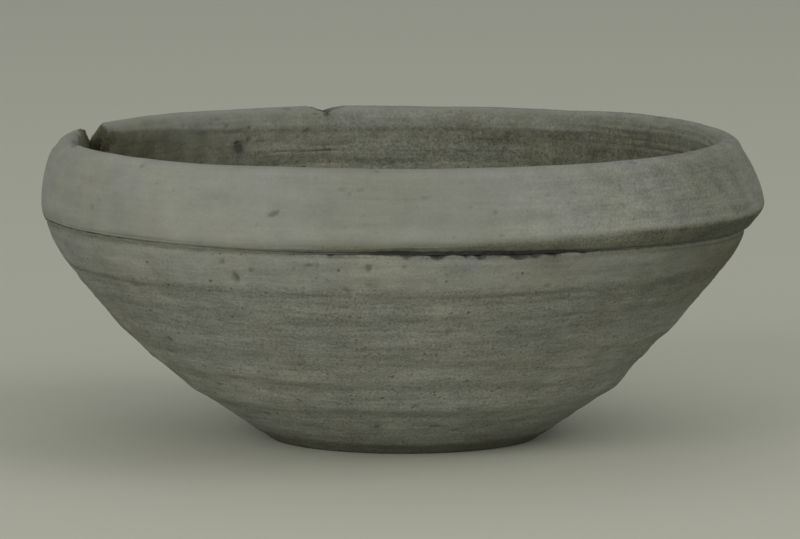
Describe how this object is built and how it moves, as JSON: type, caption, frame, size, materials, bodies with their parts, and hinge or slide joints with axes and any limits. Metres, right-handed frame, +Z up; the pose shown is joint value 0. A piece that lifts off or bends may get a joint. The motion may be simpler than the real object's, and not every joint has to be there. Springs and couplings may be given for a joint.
{
  "type": "bowl",
  "caption": "Wide coarse-clay bowl with flared ridged wall, small flat foot and a heavy inturned collar lapped over the wall's edge, its rim notched and chipped.",
  "frame": {"origin": "middle of the foot's flat underside, on the surface that the bowl stands on, under the middle of the outline", "axes": "+Z up out of the mouth; -Y towards the side that the picture shows; +X to that view's right, where the flange overhangs most"},
  "size_m": [0.2391, 0.2392, 0.0999],
  "materials": {
    "sandy_clay": "unglazed, gritty and sandy, with throwing ridges",
    "wiped_clay": "unglazed, wiped smooth while wet, slightly mottled",
    "dried_slip": "dried and fired slip, rough and matt"
  },
  "bodies": {
    "root": {"thrown_bowl": "sandy_clay", "rim_collar": "wiped_clay", "luting_slip": "dried_slip"}
  },
  "joints": []
}
